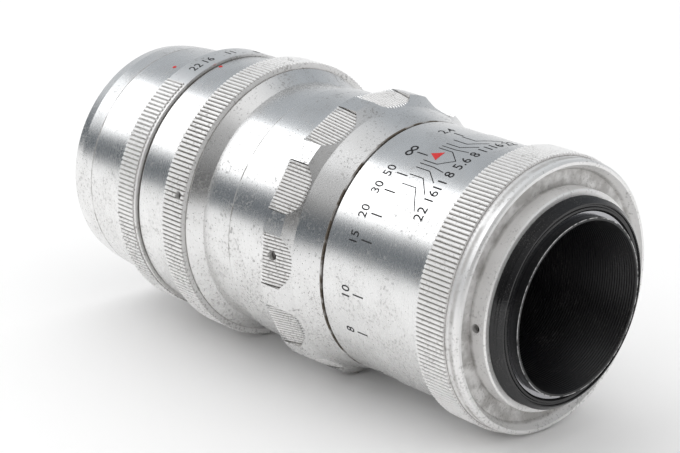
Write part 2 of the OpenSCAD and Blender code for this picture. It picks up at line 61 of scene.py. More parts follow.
# %% Make the camera
right = Vector((-0.71863593, 0.69485039, 0.02730075))
up = Vector((-0.21598158, -0.26034874, 0.94104755))
forward = Vector((-0.66099497, -0.67037413, -0.33717084))
camera_data = bpy.data.cameras.new("camera")
camera_data.lens = 110.09
camera_data.sensor_width = 36.0
camera_data.clip_start = 0.01
camera_data.clip_end = 20.0
camera = bpy.data.objects.new("camera", camera_data)
bpy.context.scene.collection.objects.link(camera)
camera.matrix_world = Matrix.Translation((0.2894180, 0.2324104, 0.1459986)) @ Matrix(
    [[right[i], up[i], -forward[i]] for i in range(3)]
).to_4x4()
bpy.context.scene.camera = camera
print("camera at", [round(v, 3) for v in camera.location], "focal length", camera_data.lens)

# %% [markdown]
# ## Table
# The lens lies on its side on a pale table. It touches the table with two rings of different size, the
# front edge of the rear grip and the head ring, so the table is not square to the axis: it leans by the
# angle of the line under these two rings.

# %% Lay the table under the two rings
grip_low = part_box("rear_grip_ring")[0]
head_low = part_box("head_ring")[0]
rear_touch = Vector((0.0, grip_low.y, grip_low.z))
front_touch = Vector((0.0, head_low.y, head_low.z))
lean = math.atan2(rear_touch.z - front_touch.z, rear_touch.y - front_touch.y)


def only(obj):
    """Selects one object alone and makes it active."""
    bpy.ops.object.select_all(action="DESELECT")
    obj.select_set(True)
    bpy.context.view_layer.objects.active = obj


bpy.ops.object.select_all(action="DESELECT")
bpy.ops.mesh.primitive_plane_add(size=1.0)
table = bpy.context.active_object
table.name = "table"
slope = Matrix.Translation((rear_touch + front_touch) / 2) @ Matrix.Rotation(lean, 4, "X")
table.data.transform(slope @ Matrix.Scale(6.0, 4))
print("table leans", round(math.degrees(lean), 2), "degrees")

# %% [markdown]
# ## Light
# Polished metal shows the room more than itself, so the room is what has to be built. The barrel is a long
# cylinder, so it shows a ring of the room round its own axis: a bright soft box, a dark gap under it, and
# then the table. The world gives the walls by direction alone, one area light gives the soft box, and a
# second one, hidden from reflections, lights the table, so that the paper is white without a second streak
# on the metal.

# %% Build the room
scene = bpy.context.scene
scene.view_settings.view_transform = "Standard"
world = bpy.data.worlds.new("room")
scene.world = world
world.use_nodes = True
room = world.node_tree
room.nodes.clear()


def add(tree, kind, settings=None, inputs=None):
    """Adds a node, sets its properties, and gives its inputs a value or a link."""
    made = tree.nodes.new(kind)
    for key, value in (settings or {}).items():
        setattr(made, key, value)
    for key, value in (inputs or {}).items():
        socket = made.inputs[key]
        if isinstance(value, bpy.types.NodeSocket):
            tree.links.new(value, socket)
        else:
            socket.default_value = value
    return made


def maths(tree, operation, *values, clamp=False):
    """A maths node, as its output."""
    made = add(tree, "ShaderNodeMath", {"operation": operation, "use_clamp": clamp})
    for i, value in enumerate(values):
        if isinstance(value, bpy.types.NodeSocket):
            tree.links.new(value, made.inputs[i])
        else:
            made.inputs[i].default_value = value
    return made.outputs[0]


def remap(tree, value, low, high, to_low=0.0, to_high=1.0, smooth=True):
    """Turns a value between low and high into one between to_low and to_high."""
    return add(
        tree,
        "ShaderNodeMapRange",
        {"interpolation_type": "SMOOTHSTEP" if smooth else "LINEAR", "clamp": True},
        {"Value": value, "From Min": low, "From Max": high, "To Min": to_low, "To Max": to_high},
    ).outputs["Result"]


def blend_colours(tree, factor, first, second, mode="MIX"):
    """Mixes two colours by a factor."""
    made = add(tree, "ShaderNodeMix", {"data_type": "RGBA", "blend_type": mode})
    for index, value in ((0, factor), (6, first), (7, second)):
        if isinstance(value, bpy.types.NodeSocket):
            tree.links.new(value, made.inputs[index])
        else:
            made.inputs[index].default_value = value
    return made.outputs[2]


def grey(level, warm=0.0):
    """A grey as a colour, a little warmer or colder."""
    return (level * (1 + warm), level, level * (1 - warm), 1.0)


def ramp(tree, factor, stops):
    """A colour ramp over a factor, with stops given as (place, level, warmth)."""
    made = add(tree, "ShaderNodeValToRGB", None, {"Fac": factor})
    elements = made.color_ramp.elements
    while len(elements) < len(stops):
        elements.new(0.5)
    for element, (place_at, level, warm) in zip(elements, stops):
        element.position = place_at
        element.color = grey(level, warm)
    return made.outputs["Color"]


direction = add(room, "ShaderNodeTexCoord").outputs["Generated"]
height = add(room, "ShaderNodeSeparateXYZ", None, {0: direction}).outputs["Z"]


def towards(azimuth):
    """How far a direction of the room points to an azimuth, from -1 to 1."""
    a = math.radians(azimuth)
    return add(
        room,
        "ShaderNodeVectorMath",
        {"operation": "DOT_PRODUCT"},
        {0: direction, 1: (math.cos(a), math.sin(a), 0.0)},
    ).outputs["Value"]


far_side = ramp(
    room,
    height,
    [(0.0, 0.86, -0.01), (0.2, 0.72, -0.02), (0.36, 0.55, -0.04), (0.58, 0.44, -0.06), (0.80, 0.46, -0.06),
     (0.97, 0.85, 0.0)],
)
camera_side = ramp(
    room,
    height,
    [(0.0, 0.10, 0.0), (0.30, 0.12, 0.0), (0.48, 0.26, 0.0), (0.64, 0.42, 0.0), (0.80, 0.40, 0.0),
     (0.90, 1.05, 0.0)],
)
walls = blend_colours(room, remap(room, towards(39), -0.25, 0.35), far_side, camera_side)
gap_side = remap(room, towards(-43), 0.55, 0.80)
gap_height = remap(room, height, 0.46, 0.26)
gap = maths(room, "MULTIPLY", gap_side, gap_height)
everything = blend_colours(room, gap, walls, grey(0.10, -0.16))
is_diffuse = add(room, "ShaderNodeLightPath").outputs["Is Diffuse Ray"]
seen = blend_colours(room, is_diffuse, everything, grey(0.98))
add(
    room,
    "ShaderNodeOutputWorld",
    None,
    {"Surface": add(room, "ShaderNodeBackground", None, {"Color": seen, "Strength": 1.0}).outputs[0]},
)


def soft_box(name, turn, tilt, distance, width, length, power):
    """A rectangular light round the lens's axis: turn from straight up, tilt from straight ahead."""
    light = bpy.data.lights.new(name, "AREA")
    light.shape = "RECTANGLE"
    light.size, light.size_y = width, length
    light.energy = power
    lamp = bpy.data.objects.new(name, light)
    scene.collection.objects.link(lamp)
    turn, tilt = math.radians(turn), math.radians(tilt)
    aim = Vector((math.sin(tilt) * math.sin(turn), -math.cos(tilt), math.sin(tilt) * math.cos(turn)))
    across = Vector((math.cos(turn), 0.0, -math.sin(turn)))
    along = aim.cross(across)
    middle = Vector((0.0, -0.06, 0.0))
    lamp.matrix_world = Matrix.Translation(middle + aim * distance) @ Matrix(
        [[across[i], along[i], aim[i]] for i in range(3)]
    ).to_4x4()
    return lamp


soft_box("key_soft_box", 32, 48, 0.9, 0.66, 0.62, 2.0)
table_light = soft_box("table_light", -25, 70, 1.2, 1.3, 1.3, 2.4)
table_light.visible_glossy = False

# %% [markdown]
# ## Shared effects
# Turning marks, grime, scratches and dirt with painted shade in recesses show on almost every metal
# piece here, each time in another strength. They are node groups with named inputs, so a material only
# says how much of each.
# The lens is a body of revolution, so the first group turns a point into a radius and a station in
# millimetres and an angle, and most patterns are drawn in these.


# %% Group: place on the lens
def new_group(name, inputs, outputs):
    """A shader node group with named sockets, given as (name, kind, default)."""
    tree = bpy.data.node_groups.new(name, "ShaderNodeTree")
    for label, kind, value in inputs:
        socket = tree.interface.new_socket(label, in_out="INPUT", socket_type=kind)
        if value is not None:
            socket.default_value = value
    for label, kind in outputs:
        tree.interface.new_socket(label, in_out="OUTPUT", socket_type=kind)
    return tree, add(tree, "NodeGroupInput"), add(tree, "NodeGroupOutput")


NUMBER, VECTOR = "NodeSocketFloat", "NodeSocketVector"
place, _, place_out = new_group(
    "place_on_lens", [], [("Radius", NUMBER), ("Station", NUMBER), ("Angle", NUMBER), ("Point", VECTOR)]
)
point = add(
    place,
    "ShaderNodeVectorMath",
    {"operation": "SCALE"},
    {0: add(place, "ShaderNodeTexCoord").outputs["Object"], "Scale": 1000.0},
).outputs[0]
xyz = add(place, "ShaderNodeSeparateXYZ", None, {0: point})
flat = add(place, "ShaderNodeCombineXYZ", None, {"X": xyz.outputs["X"], "Z": xyz.outputs["Z"]})
radius = add(place, "ShaderNodeVectorMath", {"operation": "LENGTH"}, {0: flat.outputs[0]}).outputs["Value"]
place.links.new(radius, place_out.inputs["Radius"])
place.links.new(maths(place, "MULTIPLY", xyz.outputs["Y"], -1.0), place_out.inputs["Station"])
place.links.new(
    maths(place, "ARCTAN2", xyz.outputs["X"], xyz.outputs["Z"]), place_out.inputs["Angle"]
)
place.links.new(point, place_out.inputs["Point"])
print("group", place.name, "with outputs", [s.name for s in place.interface.items_tree])

# %% [markdown]
# The lathe leaves fine rings: on a cylinder they follow the station, and on a face the radius. Adding the
# two gives one number that works on both. A second noise, drawn round the axis as well, breaks the rings
# up, because wear never takes a whole ring evenly.


# %% Group: turning marks
def use(tree, group, inputs=None):
    """Places a shared group in a tree."""
    made = tree.nodes.new("ShaderNodeGroup")
    made.node_tree = group
    for key, value in (inputs or {}).items():
        if isinstance(value, bpy.types.NodeSocket):
            tree.links.new(value, made.inputs[key])
        else:
            made.inputs[key].default_value = value
    return made


turning, turning_in, turning_out = new_group(
    "turning_marks", [("Lines per mm", NUMBER, 6.0), ("Breakup", NUMBER, 0.5)], [("Lines", NUMBER)]
)
here = use(turning, place)
along = maths(
    turning, "MULTIPLY_ADD", here.outputs["Radius"], 1.31, here.outputs["Station"]
)
fine = add(
    turning,
    "ShaderNodeTexNoise",
    {"noise_dimensions": "1D"},
    {
        "W": maths(turning, "MULTIPLY", along, turning_in.outputs["Lines per mm"]),
        "Scale": 1.0,
        "Detail": 3.0,
    },
).outputs[0]
around = add(
    turning,
    "ShaderNodeCombineXYZ",
    None,
    {
        "X": maths(turning, "MULTIPLY", here.outputs["Angle"], 2.5),
        "Y": maths(turning, "MULTIPLY", along, 5.0),
    },
).outputs[0]
broken = add(
    turning, "ShaderNodeTexNoise", None, {"Vector": around, "Scale": 1.0, "Detail": 3.0}
).outputs[0]
mixed = add(
    turning,
    "ShaderNodeMix",
    {"data_type": "FLOAT"},
    {0: turning_in.outputs["Breakup"], 2: fine, 3: broken},
).outputs[0]
turning.links.new(mixed, turning_out.inputs["Lines"])
print("group", turning.name)

# %% [markdown]
# Handling leaves small dark specks that gather in clouds, and fine scratches that run every way. The specks
# are a fine noise cut off high, and a coarse noise moves the cut, so clean and dirty areas lie side by
# side. The scratches are the thin borders of warped cells, kept only in places.

# %% Group: specks and scratches
handled, handled_in, handled_out = new_group(
    "handling",
    [("Darkening", NUMBER, 0.5), ("Speck size", NUMBER, 0.35), ("Lower side", NUMBER, 0.0)],
    [("Specks", NUMBER), ("Scratches", NUMBER), ("Clouds", NUMBER)],
)
here = use(handled, place)
spot = here.outputs["Point"]
clouds = add(handled, "ShaderNodeTexNoise", None, {"Vector": spot, "Scale": 0.16, "Detail": 4.0}).outputs[0]
underside = remap(handled, maths(handled, "COSINE", here.outputs["Angle"]), 0.55, -0.45)
lower = maths(handled, "MULTIPLY", underside, handled_in.outputs["Lower side"])
cloudy = remap(handled, maths(handled, "ADD", clouds, maths(handled, "MULTIPLY", lower, 0.18)), 0.42, 0.68)
speck_noise = add(
    handled,
    "ShaderNodeTexNoise",
    None,
    {
        "Vector": spot,
        "Scale": maths(handled, "DIVIDE", 1.0, handled_in.outputs["Speck size"]),
        "Detail": 3.0,
        "Roughness": 0.62,
    },
).outputs[0]
cut = maths(handled, "MULTIPLY_ADD", cloudy, -0.085, 0.645)
specks = maths(
    handled,
    "MULTIPLY",
    remap(handled, maths(handled, "SUBTRACT", speck_noise, cut), -0.04, 0.07),
    handled_in.outputs["Darkening"],
)
warp = add(handled, "ShaderNodeTexNoise", None, {"Vector": spot, "Scale": 0.12, "Detail": 2.0}).outputs[1]
bent = add(
    handled,
    "ShaderNodeVectorMath",
    {"operation": "MULTIPLY_ADD"},
    {0: warp, 1: (22.0, 22.0, 22.0), 2: spot},
).outputs[0]
cells = add(
    handled, "ShaderNodeTexVoronoi", {"feature": "DISTANCE_TO_EDGE"}, {"Vector": bent, "Scale": 0.24}
).outputs["Distance"]
hair = remap(handled, cells, 0.0, 0.012, 1.0, 0.0)
kept = remap(
    handled,
    add(handled, "ShaderNodeTexNoise", None, {"Vector": spot, "Scale": 0.5, "Detail": 1.0}).outputs[0],
    0.55,
    0.62,
)
handled.links.new(specks, handled_out.inputs["Specks"])
handled.links.new(maths(handled, "MULTIPLY", hair, kept), handled_out.inputs["Scratches"])
handled.links.new(cloudy, handled_out.inputs["Clouds"])
print("group", handled.name)

# %% [markdown]
# Where a cloth can't reach, dirt stays and shade falls: in the roots of the knurling, in seams and behind
# flanges. How shut in a spot is can be asked of the shape itself, with Ambient Occlusion over a short
# reach, and the darkening it gives is painted shade as well as dirt.

# %% Group: dirt and painted shade in recesses
recess, recess_in, recess_out = new_group(
    "recess_dirt_and_shade", [("Reach", NUMBER, 0.001), ("Amount", NUMBER, 1.0)], [("Darkening", NUMBER)]
)
shut_in = add(
    recess,
    "ShaderNodeAmbientOcclusion",
    {"samples": 4},
    {"Distance": recess_in.outputs["Reach"]},
).outputs["AO"]
here = use(recess, place)
uneven = add(
    recess, "ShaderNodeTexNoise", None, {"Vector": here.outputs["Point"], "Scale": 0.5, "Detail": 3.0}
).outputs[0]
deep = remap(recess, maths(recess, "MULTIPLY_ADD", uneven, 0.25, shut_in), 0.95, 0.45)
recess.links.new(
    maths(recess, "MULTIPLY", deep, recess_in.outputs["Amount"], clamp=True), recess_out.inputs["Darkening"]
)
print("group", recess.name)

# %% [markdown]
# ## Bare aluminium
# The rings are turned aluminium that was never anodised, so it has gone soft grey and took every knock.
# One maker's function mixes the shared effects into a Principled shader. The knurled rings get more dirt
# and painted shade in their roots, the smooth ones more specks, and the working rings are brighter where
# fingers rub.


# %% Aluminium, in several states
FLARE_RISE = 1.95  # how far the flare climbs, in mm, to reach the pads' land


def band_mask(tree, value, low, high, soft):
    """One between two limits, falling to nothing over a soft width outside them."""
    rises = remap(tree, value, low - soft, low)
    return maths(tree, "MULTIPLY", rises, remap(tree, value, high, high + soft, 1.0, 0.0))


def aluminium(name, tone, roughness, dirt=0.5, recess_amount=0.8, reach=0.0009, lower=0.6, oxide=0.0,
              dirt_and_shade_rings=(), pads=None, oxide_from=-10.0, polished=None):
    """Turned aluminium. oxide whitens it ahead of a station, the list of rings gives dark bands as
    (station, half width, softness, strength), dirt at some joints and painted shade at others, pads gives
    the stations and radius of the knurled patches, and polished the two angles between which there is no
    oxide."""
    material = bpy.data.materials.new(name)
    material.use_nodes = True
    tree = material.node_tree
    tree.nodes.clear()
    here = use(tree, place)
    station, radius_mm = here.outputs["Station"], here.outputs["Radius"]
    ring = use(tree, turning, {"Lines per mm": 6.0, "Breakup": 0.55}).outputs["Lines"]
    wear = use(tree, handled, {"Darkening": dirt, "Speck size": 0.55, "Lower side": lower})
    deep = use(tree, recess, {"Reach": reach, "Amount": recess_amount}).outputs["Darkening"]
    # Each listed ring darkens a band of the colour: dirt at some joints, painted shade at the flare seam
    # and beside the skirt's step.
    for middle, half, soft, strength in dirt_and_shade_rings:
        uneven = add(
            tree,
            "ShaderNodeTexNoise",
            None,
            {"Vector": here.outputs["Point"], "Scale": 0.35, "Detail": 6.0},
        ).outputs[0]
        patchy = remap(tree, uneven, 0.30, 0.66, 0.25 * strength, strength)
        line = band_mask(tree, station, middle - half, middle + half, soft)
        deep = maths(tree, "MAXIMUM", deep, maths(tree, "MULTIPLY", line, patchy))
    white = remap(tree, station, oxide_from, oxide_from + 0.05, 0.5 * oxide, oxide)
    if polished:
        plain = band_mask(tree, here.outputs["Angle"], polished[0], polished[1], 0.005)
        white = maths(tree, "MULTIPLY", white, maths(tree, "SUBTRACT", 1.0, plain))
    if pads:
        start, end, land = pads
        flare = maths(tree, "ADD", station, land - FLARE_RISE - start)
        surface = maths(tree, "MINIMUM", flare, land)
        sunk = remap(tree, maths(tree, "SUBTRACT", surface, radius_mm), 0.03, 0.06)
        across = band_mask(tree, station, start, end, 0.02)
        white = maths(tree, "MULTIPLY", maths(tree, "MULTIPLY", sunk, 0.75), across)
    bare = blend_colours(tree, ring, grey(tone * 0.97, 0.005), grey(min(tone * 1.03, 1.0), 0.0))
    dull = blend_colours(
        tree, maths(tree, "MULTIPLY", wear.outputs["Clouds"], 0.30), bare, grey(tone * 0.80, 0.01)
    )
    scratched = blend_colours(
        tree, maths(tree, "MULTIPLY", wear.outputs["Scratches"], 0.35), dull, grey(tone * 0.55, 0.02)
    )
    whitened = blend_colours(tree, white, scratched, grey(0.93, 0.01))
    specked = blend_colours(
        tree, maths(tree, "MULTIPLY", wear.outputs["Specks"], 0.50), whitened, grey(0.20, 0.04)
    )
    # deep pulls the colour to dark brown: dirt, and painted shade in the recesses the AO finds and in the
    # shaded rings.
    colour = blend_colours(tree, deep, specked, (0.085, 0.068, 0.05, 1.0))
    worn = maths(
        tree, "MULTIPLY_ADD", wear.outputs["Specks"], 0.3, remap(tree, ring, 0.25, 0.75, -0.02, 0.02)
    )
    dirty = maths(tree, "MULTIPLY_ADD", deep, 0.35, worn)
    rough = maths(
        tree,
        "ADD",
        dirty,
        maths(tree, "MULTIPLY_ADD", white, 0.30, roughness),
        clamp=True,
    )
    dents = maths(
        tree,
        "MULTIPLY_ADD",
        maths(tree, "ADD", wear.outputs["Specks"], wear.outputs["Scratches"]),
        -0.5,
        maths(tree, "MULTIPLY", ring, 0.6),
    )
    bump = add(
        tree, "ShaderNodeBump", None, {"Strength": 0.03, "Distance": 0.00005, "Height": dents}
    ).outputs[0]
    dielectric = maths(
        tree, "MAXIMUM", maths(tree, "MULTIPLY", deep, 0.85), maths(tree, "MULTIPLY", white, 0.55)
    )
    shader = add(
        tree,
        "ShaderNodeBsdfPrincipled",
        None,
        {
            "Base Color": colour,
            "Metallic": maths(tree, "SUBTRACT", 1.0, dielectric),
            "Roughness": rough,
            "Normal": bump,
        },
    )
    add(tree, "ShaderNodeOutputMaterial", None, {"Surface": shader.outputs[0]})
    return material


def dress(material, *names):
    """Gives a material to CAD nodes."""
    for name in names:
        mesh = nodes[name].data
        if not mesh.materials:
            mesh.materials.append(material)
        for i in range(len(mesh.materials)):
            mesh.materials[i] = material


# %% [markdown]
# Dark rings lie where two pieces meet, so these stations are measured from the nodes: dirt at the rim's
# joint and in the hub's channel, painted shade at the flare seam and beside the skirt's step. The plain
# part of the aperture ring, where the numbers stand, is the only part of it without the white bloom.

# %% Dress the aluminium nodes
plain_zone = (INDEX - math.radians(67.5), INDEX + math.radians(10.5))
hub_channel = 3.7
hub_rim_start = 5.0
flare_seam = -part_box("distance_band")[0].y / MM
pad_start, pad_end = flare_seam + 7.3, flare_seam + 14.4
focus_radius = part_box("focus_ring")[1].z / MM
skirt_end = -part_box("focus_ring")[0].y / MM
rim_joint = -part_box("filter_rim")[1].y / MM
smooth_aluminium = aluminium("satin_aluminium_smooth", 0.84, 0.27, dirt=0.6)
# The dark ring beside the flare seam is painted shade of the gap between the focus ring and the distance
# band.
grip_aluminium = aluminium(
    "satin_aluminium_grip", 0.84, 0.26, dirt=0.85, pads=(pad_start, pad_end, focus_radius),
    dirt_and_shade_rings=((flare_seam + 0.72, 0.16, 0.10, 1.3),),
)
front_aluminium = aluminium(
    "satin_aluminium_front", 0.84, 0.26, dirt=0.6, dirt_and_shade_rings=((rim_joint + 0.15, 0.12, 0.12, 0.7),)
)
# The dark ring on the neck just ahead of the skirt's end is painted shade beside the step.
neck_aluminium = aluminium(
    "satin_aluminium_neck", 0.84, 0.26, dirt=0.75, dirt_and_shade_rings=((skirt_end + 0.75, 0.15, 0.2, 0.8),)
)
aperture_aluminium = aluminium(
    "satin_aluminium_aperture", 0.88, 0.34, dirt=0.9, recess_amount=1.0, reach=0.0005, oxide=0.55,
    polished=plain_zone,
)
rim_aluminium = aluminium(
    "satin_aluminium_rim", 0.92, 0.36, dirt=0.6, recess_amount=0.8, reach=0.0005, oxide=0.65,
    oxide_from=hub_rim_start, dirt_and_shade_rings=((hub_channel, 0.1, 0.7, 0.45),),
)
knurled_aluminium = aluminium(
    "satin_aluminium_knurled", 0.90, 0.38, dirt=0.8, recess_amount=1.0, reach=0.0005, oxide=0.65
)
hub_aluminium = aluminium(
    "satin_aluminium_hub", 0.92, 0.30, dirt=0.5, recess_amount=0.4, reach=0.001, oxide=0.6,
    dirt_and_shade_rings=((hub_channel, 0.1, 0.9, 0.5),),
)
hidden_aluminium = aluminium("satin_aluminium_inside", 0.72, 0.35, dirt=0.1)
dress(smooth_aluminium, "dof_collar", "distance_band", "head_barrel", "front_barrel")
dress(front_aluminium, "filter_rim")
dress(neck_aluminium, "head_tube")
dress(rim_aluminium, "rear_grip_ring")
dress(grip_aluminium, "focus_ring")
dress(knurled_aluminium, "head_ring")
dress(aperture_aluminium, "aperture_ring")
dress(hub_aluminium, "mount_body")
dress(hidden_aluminium, "guide_tube", "focus_retaining_ring", "helicoid_nut")
print("aluminium on", sum(1 for o in nodes.values() if "aluminium" in o.data.materials[0].name), "nodes")


# %% [markdown]
# ## Black, bright and steel
# The thread collar and the tube inside the mount are black anodised. The black has rubbed through to
# the metal in places on the tube's outer lip, at the very back. The lock ring was plated
# and stays bright. Screws and blades are steel, the blades dark and nearly smooth.


# %% Other metals
def plain_metal(name, colour, metallic, roughness, lines=5.0, contrast=0.25, worn_lip=None, worn_radius=0.0,
                dust=0.0):
    """A metal with turning marks. At the worn lip's station and radius the bare metal shows through."""
    material = bpy.data.materials.new(name)
    material.use_nodes = True
    tree = material.node_tree
    tree.nodes.clear()
    ring = use(tree, turning, {"Lines per mm": lines, "Breakup": 0.4}).outputs["Lines"]
    wear = use(tree, handled, {"Darkening": 1.0, "Speck size": 0.25, "Lower side": 0.0})
    darker = tuple(c * (1 - contrast) for c in colour) + (1.0,)
    lighter = tuple(min(c * (1 + contrast), 1.0) for c in colour) + (1.0,)
    shade = blend_colours(tree, ring, darker, lighter)
    if dust:
        shade = blend_colours(
            tree, maths(tree, "MULTIPLY", wear.outputs["Specks"], dust), shade, grey(0.35, 0.05)
        )
    if worn_lip is not None:
        here = use(tree, place)
        chipped = add(
            tree,
            "ShaderNodeTexNoise",
            None,
            {"Vector": here.outputs["Point"], "Scale": 1.1, "Detail": 4.0},
        ).outputs[0]
        edge = remap(tree, here.outputs["Station"], worn_lip + 0.10, worn_lip + 0.02)
        outside = remap(tree, here.outputs["Radius"], worn_radius - 0.22, worn_radius - 0.12)
        bare = maths(
            tree, "MULTIPLY", maths(tree, "MULTIPLY", edge, outside), remap(tree, chipped, 0.35, 0.60)
        )
        shade = blend_colours(tree, bare, shade, grey(0.55))
        metal_part = maths(tree, "MAXIMUM", bare, metallic)
    rough = remap(tree, ring, 0.2, 0.8, roughness * 0.8, roughness * 1.2, smooth=False)
    bump = add(
        tree, "ShaderNodeBump", None, {"Strength": 0.15, "Distance": 0.00004, "Height": ring}
    ).outputs[0]
    shader = add(
        tree,
        "ShaderNodeBsdfPrincipled",
        None,
        {"Base Color": shade, "Roughness": rough, "Normal": bump},
    )
    if worn_lip is None:
        shader.inputs["Metallic"].default_value = metallic
    else:
        tree.links.new(metal_part, shader.inputs["Metallic"])
    add(tree, "ShaderNodeOutputMaterial", None, {"Surface": shader.outputs[0]})
    return material


lip_station = -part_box("inner_tube")[1].y / MM
lip_radius = max(
    math.hypot(v.co.x, v.co.z)
    for v in nodes["inner_tube"].data.vertices
    if v.co.y > -lip_station * MM - 0.1 * MM
) / MM
black_collar = plain_metal(
    "black_anodised_collar", (0.010, 0.010, 0.011), 0.0, 0.16, contrast=0.1, dust=0.10
)
black_tube = plain_metal(
    "black_anodised_tube", (0.006, 0.006, 0.007), 0.0, 0.38, contrast=0.1, worn_lip=lip_station,
    worn_radius=lip_radius, dust=0.15,
)
black_inside = plain_metal("black_anodised_inside", (0.02, 0.02, 0.02), 0.0, 0.5)
bright_ring = plain_metal("bright_ring_plated", (0.42, 0.42, 0.44), 1.0, 0.16, contrast=0.15)
screw_steel = plain_metal("screw_steel", (0.30, 0.29, 0.28), 1.0, 0.4, contrast=0.3, dust=0.5)
blade_steel = plain_metal("blade_steel", (0.16, 0.16, 0.17), 1.0, 0.35, contrast=0.2)
dress(black_collar, "thread_collar")
dress(black_tube, "inner_tube")
dress(
    black_inside,
    "front_cell", "front_retaining_ring", "iris_housing", "iris_cover_ring", "iris_cam_ring", "rear_cell",
    "rear_retaining_ring",
)
dress(bright_ring, "lock_ring")
dress(
    screw_steel,
    "collar_set_screw", "focus_stop_pin", "focus_set_screws", "guide_key", "head_set_screws",
    "aperture_drive_screw",
)
dress(blade_steel, *[f"iris_blade_{i}" for i in range(1, 13)])
print("lip of the tube at station", round(lip_station, 2), "mm")


# %% [markdown]
# ## Enamel, engraving fill and glass
# The index and the dots are red enamel rubbed into sunk shapes, a little uneven and chipped. The
# engraving is filled with black paint. Glass keeps a plain Metallic and Transmission, and its bloom of
# old coating is a faint colour in the reflection.


# %% Paints and glass
def paint(name, colour, worn, roughness):
    """Paint rubbed into metal: mottled, and a little worn away."""
    material = bpy.data.materials.new(name)
    material.use_nodes = True
    tree = material.node_tree
    tree.nodes.clear()
    here = use(tree, place)
    mottle = add(
        tree, "ShaderNodeTexNoise", None, {"Vector": here.outputs["Point"], "Scale": 4.0, "Detail": 3.0}
    ).outputs[0]
    darker = tuple(c * 0.75 for c in colour) + (1.0,)
    lighter = tuple(min(c * 1.25, 1) for c in colour) + (1.0,)
    shade = blend_colours(tree, mottle, darker, lighter)
    rubbed = remap(tree, mottle, 0.62, 0.72, 0.0, worn)
    colour_out = blend_colours(tree, rubbed, shade, grey(0.45))
    shader = add(
        tree,
        "ShaderNodeBsdfPrincipled",
        None,
        {
            "Base Color": colour_out,
            "Roughness": remap(tree, mottle, 0.3, 0.7, roughness - 0.08, roughness + 0.08),
            "Specular IOR Level": 0.15,
        },
    )
    add(tree, "ShaderNodeOutputMaterial", None, {"Surface": shader.outputs[0]})
    return material


def clear_glass(name, tint):
    """Lens glass with a faint colour in its reflections."""
    material = bpy.data.materials.new(name)
    material.use_nodes = True
    tree = material.node_tree
    tree.nodes.clear()
    here = use(tree, place)
    haze = add(
        tree, "ShaderNodeTexNoise", None, {"Vector": here.outputs["Point"], "Scale": 0.3, "Detail": 4.0}
    ).outputs[0]
    shader = add(
        tree,
        "ShaderNodeBsdfPrincipled",
        None,
        {
            "Base Color": blend_colours(tree, haze, (0.93, 0.96, 0.97, 1.0), (0.97, 0.985, 0.99, 1.0)),
            "Roughness": remap(tree, haze, 0.3, 0.8, 0.0, 0.03),
            "Transmission Weight": 1.0,
            "IOR": 1.52,
            "Specular Tint": tint,
        },
    )
    add(tree, "ShaderNodeOutputMaterial", None, {"Surface": shader.outputs[0]})
    return material


red_enamel = paint("red_enamel", (0.55, 0.03, 0.03), 0.5, 0.35)
fill_black = paint("engraving_fill", (0.02, 0.02, 0.022), 0.30, 0.80)
coated_glass = clear_glass("lens_glass", (0.72, 0.66, 0.98, 1.0))
dress(red_enamel, "index_triangle", "red_dots")
dress(coated_glass, "front_crown", "front_flint", "rear_crown", "rear_flint")
undressed = [n for n, o in nodes.items() if not o.data.materials or not o.data.materials[0].use_nodes]
print("without a material:", undressed)

# %% [markdown]
# ## Screw threads
# The mount screws in with a fine thread, and the front rim takes a filter. The CAD has plain cylinders
# there, so the mount collar is turned anew from a circle, extruded and scaled from one point of its outline
# to the next, and then its wall is cut by one helix. The filter thread is a thin ring made the same way.


# %% Turn a ring and cut its thread
def lathe(name, outline, steps=256):
    """A closed ring whose outline is a list of (radius, station), in metres."""
    bpy.ops.object.select_all(action="DESELECT")
    bpy.ops.mesh.primitive_circle_add(vertices=steps, radius=outline[0][0], rotation=(math.pi / 2, 0, 0))
    piece = bpy.context.active_object
    piece.name = name
    bpy.ops.object.transform_apply(location=True, rotation=True, scale=True)
    piece.data.transform(Matrix.Translation((0, -outline[0][1], 0)))
    bpy.ops.object.mode_set(mode="EDIT")
    bpy.ops.mesh.select_all(action="SELECT")
    for (r0, s0), (r1, s1) in zip(outline, outline[1:]):
        bpy.ops.mesh.extrude_edges_move(TRANSFORM_OT_translate={"value": (0, s0 - s1, 0)})
        if r1 != r0:
            bpy.ops.transform.resize(value=(r1 / r0, 1, r1 / r0), center_override=(0, -s1, 0))
    bpy.ops.mesh.select_all(action="DESELECT")
    bpy.ops.mesh.select_non_manifold()
    bpy.ops.mesh.bridge_edge_loops()
    bpy.ops.mesh.select_all(action="SELECT")
    bpy.ops.mesh.remove_doubles(threshold=1e-7)
    bpy.ops.mesh.normals_make_consistent(inside=False)
    bpy.ops.object.mode_set(mode="OBJECT")
    return piece


def cut_thread(piece, radius, depth, pitch, first, last):
    """Cuts a helical V groove in the wall of a given radius. A negative depth cuts a nut's wall."""
    for vertex in piece.data.vertices:
        r, station = math.hypot(vertex.co.x, vertex.co.z), -vertex.co.y
        if abs(r - radius) < 0.02 * MM and first <= station <= last:
            turn = math.atan2(vertex.co.x, vertex.co.z) / math.tau
            phase = (station / pitch + turn) % 1.0
            run_out = min(1.0, (station - first) / (0.3 * pitch), (last - station) / (0.3 * pitch))
            scale = (r - depth * (1 - abs(2 * phase - 1)) * run_out) / r
            vertex.co.x *= scale
            vertex.co.z *= scale


def threaded_wall(radius, first, last, rows):
    """Outline points along a straight wall, close enough to carry a thread."""
    return [(radius, first + (last - first) * i / rows) for i in range(rows + 1)]


def finish_ring(piece, body, material):
    """Smooth-shades a turned ring and puts it on its body."""
    only(piece)
    bpy.ops.object.shade_smooth_by_angle(angle=math.radians(25))
    piece.data.materials.clear()
    piece.data.materials.append(material)
    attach(piece, body)


